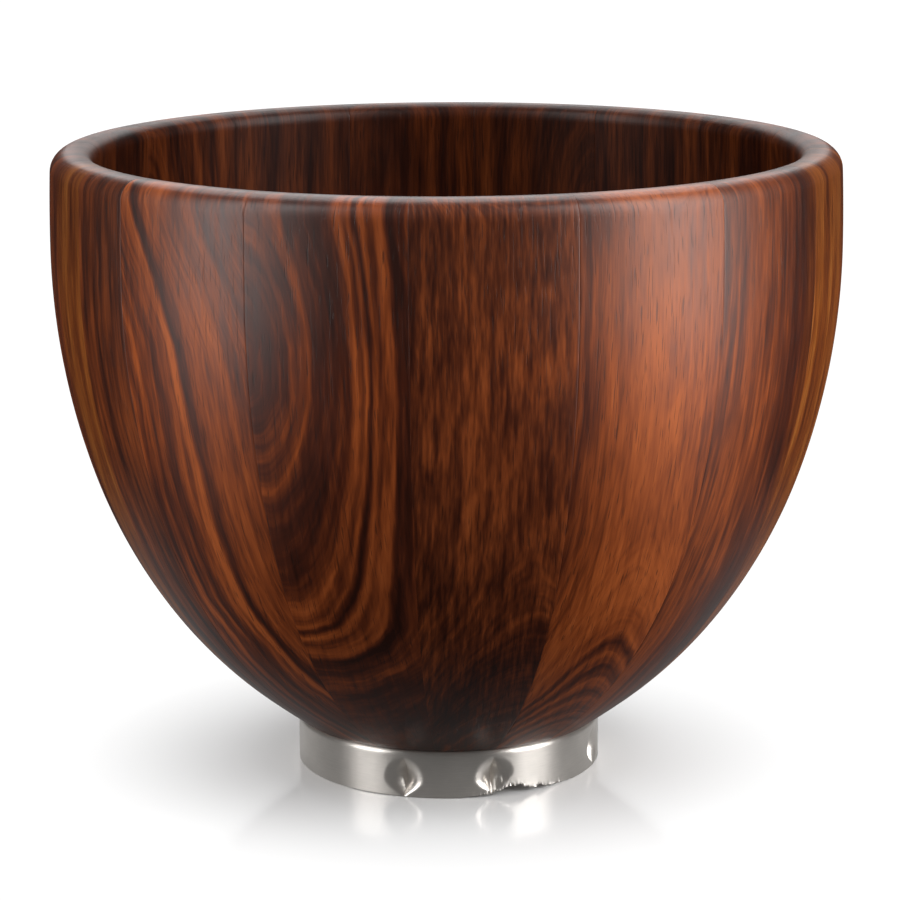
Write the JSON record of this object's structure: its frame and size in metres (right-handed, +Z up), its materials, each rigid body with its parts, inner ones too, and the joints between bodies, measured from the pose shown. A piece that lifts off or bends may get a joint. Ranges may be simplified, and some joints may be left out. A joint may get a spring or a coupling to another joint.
{
  "type": "mixing bowl",
  "caption": "Deep stave-built wooden mixing bowl with a rounded rim, on a low pressed steel ring foot whose inward lugs twist-lock onto a mixer.",
  "frame": {"origin": "on the bowl's axis, in the plane the foot ring rests on", "axes": "+Z up along the bowl's axis; -Y towards the two foremost dimples of the foot"},
  "size_m": [0.26, 0.26, 0.208],
  "materials": {
    "stave_01_wood": "oiled satin, fine pores, flush glued joints",
    "stave_02_wood": "oiled satin, fine pores, flush glued joints",
    "stave_03_wood": "oiled satin, fine pores, flush glued joints",
    "stave_04_wood": "oiled satin, fine pores, flush glued joints",
    "stave_05_wood": "oiled satin, fine pores, flush glued joints",
    "stave_06_wood": "oiled satin, fine pores, flush glued joints",
    "stave_07_wood": "oiled satin, fine pores, flush glued joints",
    "stave_08_wood": "oiled satin, fine pores, flush glued joints",
    "stave_09_wood": "oiled satin, fine pores, flush glued joints",
    "stave_10_wood": "oiled satin, fine pores, flush glued joints",
    "stave_11_wood": "oiled satin, fine pores, flush glued joints",
    "stave_12_wood": "oiled satin, fine pores, flush glued joints",
    "stave_13_wood": "oiled satin, fine pores, flush glued joints",
    "stave_14_wood": "oiled satin, fine pores, flush glued joints",
    "stave_15_wood": "oiled satin, fine pores, flush glued joints",
    "stave_16_wood": "oiled satin, fine pores, flush glued joints",
    "floor_disc_wood": "oiled satin, fine pores, flush glued joints",
    "foot_steel": "satin pressed stainless steel",
    "screw_steel": "plain stainless steel"
  },
  "bodies": {
    "root": {"stave_01": "stave_01_wood", "stave_02": "stave_02_wood", "stave_03": "stave_03_wood", "stave_04": "stave_04_wood", "stave_05": "stave_05_wood", "stave_06": "stave_06_wood", "stave_07": "stave_07_wood", "stave_08": "stave_08_wood", "stave_09": "stave_09_wood", "stave_10": "stave_10_wood", "stave_11": "stave_11_wood", "stave_12": "stave_12_wood", "stave_13": "stave_13_wood", "stave_14": "stave_14_wood", "stave_15": "stave_15_wood", "stave_16": "stave_16_wood", "floor_disc": "floor_disc_wood", "foot_ring": "foot_steel", "foot_screws": "screw_steel"}
  },
  "joints": []
}
